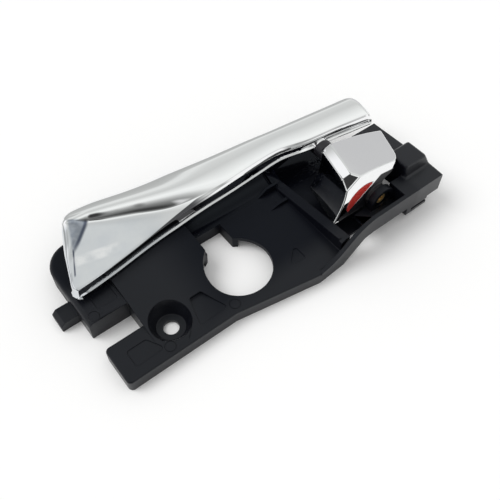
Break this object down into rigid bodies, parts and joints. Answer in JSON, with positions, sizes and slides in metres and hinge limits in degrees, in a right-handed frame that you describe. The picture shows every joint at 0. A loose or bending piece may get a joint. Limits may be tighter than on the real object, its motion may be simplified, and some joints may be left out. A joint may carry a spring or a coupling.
{
  "type": "car interior door handle",
  "caption": "Interior car door handle: bright pull lever and rocking lock knob on one hinge pin, in a dark moulded housing with finger pocket, screw recess and round opening.",
  "frame": {"origin": "middle of the bounding box on the plane of the housing's back face", "axes": "+X along the handle towards the hinge, +Y from the plate's front edge to the bar, +Z out of the door towards the hand"},
  "size_m": [0.169, 0.0807, 0.0322],
  "materials": {
    "housing": "satin black moulded plastic",
    "lever": "bright plated",
    "knob": "bright plated",
    "flag": "glossy red",
    "pin": "yellow plated metal",
    "spring": "drawn wire",
    "pad": "matt"
  },
  "bodies": {
    "frame": {"housing": "housing", "hinge_pin": "pin", "return_spring": "spring", "rest_pad": "pad"},
    "lever": {"pull_handle": "lever"},
    "lock": {"lock_knob": "knob", "unlock_flag": "flag"}
  },
  "joints": [
    {"name": "handle_pull", "type": "hinge", "parent": "frame", "child": "lever", "pos_m": [0.0555, 0, 0.0136], "axis": [0, 1, 0], "range_deg": [0, 22], "stiffness_Nm_per_rad": 0.6, "springref_deg": -17.19, "deforming": ["return_spring"]},
    {"name": "lock_rock", "type": "hinge", "parent": "frame", "child": "lock", "pos_m": [0.0555, 0, 0.0136], "axis": [0, 1, 0], "range_deg": [-15, 0]}
  ]
}
